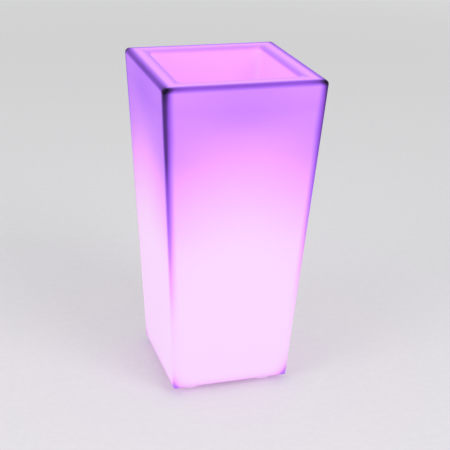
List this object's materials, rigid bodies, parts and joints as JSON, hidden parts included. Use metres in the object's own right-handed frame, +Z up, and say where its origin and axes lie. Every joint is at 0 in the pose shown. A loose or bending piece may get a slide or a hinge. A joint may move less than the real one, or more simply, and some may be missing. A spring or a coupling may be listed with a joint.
{
  "type": "led planter",
  "caption": "Tall square tapered floor planter with a double-walled moulded body, lit from within by a sealed rechargeable lamp unit in its base.",
  "frame": {"origin": "centre of the square footprint, on the surface that the feet stand on", "axes": "+Z up, towards the rim; +X and +Y across two sides; the front side looks along -Y"},
  "size_m": [0.3888, 0.3888, 0.8],
  "materials": {
    "glowing_polyethylene": "satin translucent moulding, lit from within",
    "brass": "machined",
    "cover_plastic": "fine grain",
    "silicone": "soft matt",
    "stainless_steel": "plain",
    "frosted_polycarbonate": "frosted",
    "white_board": "white solder mask",
    "led_package": "clear resin window",
    "dark_epoxy": "polished resin",
    "black_plastic": "fine grain",
    "nickel_strip": "rolled strip",
    "cell_sleeve": "shrink sleeve",
    "foam": "closed-cell foam",
    "green_board": "green solder mask",
    "component_plastic": "moulded",
    "button_plastic": "satin",
    "spring_steel": "drawn wire",
    "socket_plastic": "moulded",
    "nickel_nut": "nickel plated",
    "bung_rubber": "soft matt",
    "clear_acrylic": "polished",
    "wire_insulation": "smooth insulation"
  },
  "bodies": {
    "housing": {"planter_body": "glowing_polyethylene", "cover_inserts": "brass", "base_cover": "cover_plastic", "cover_gasket": "silicone", "cover_screws": "stainless_steel", "dome_seal": "silicone", "diffuser_dome": "frosted_polycarbonate", "dome_screws": "stainless_steel", "led_board": "white_board", "led_board_screws": "stainless_steel", "led_emitters": "led_package", "infrared_receiver": "dark_epoxy", "battery_holder": "black_plastic", "battery_contacts": "nickel_strip", "battery_cells": "cell_sleeve", "battery_pad": "foam", "control_board": "green_board", "control_board_screws": "stainless_steel", "control_components": "component_plastic", "button_switch": "black_plastic", "button_spring": "spring_steel", "charge_socket": "socket_plastic", "socket_nut": "nickel_nut", "indicator_lens": "clear_acrylic", "internal_leads": "wire_insulation"},
    "button": {"power_button": "button_plastic", "button_seal": "silicone"},
    "plug": {"port_plug": "bung_rubber"}
  },
  "joints": [
    {"name": "power_button_press", "type": "slide", "parent": "housing", "child": "button", "axis": [0, 0, 1], "range_m": [0, 0.0015], "stiffness_N_per_m": 300, "springref_m": -0.003, "deforming": ["button_spring"]},
    {"name": "port_plug_pull", "type": "slide", "parent": "housing", "child": "plug", "axis": [0, 0, -1], "range_m": [0, 0.01]}
  ]
}
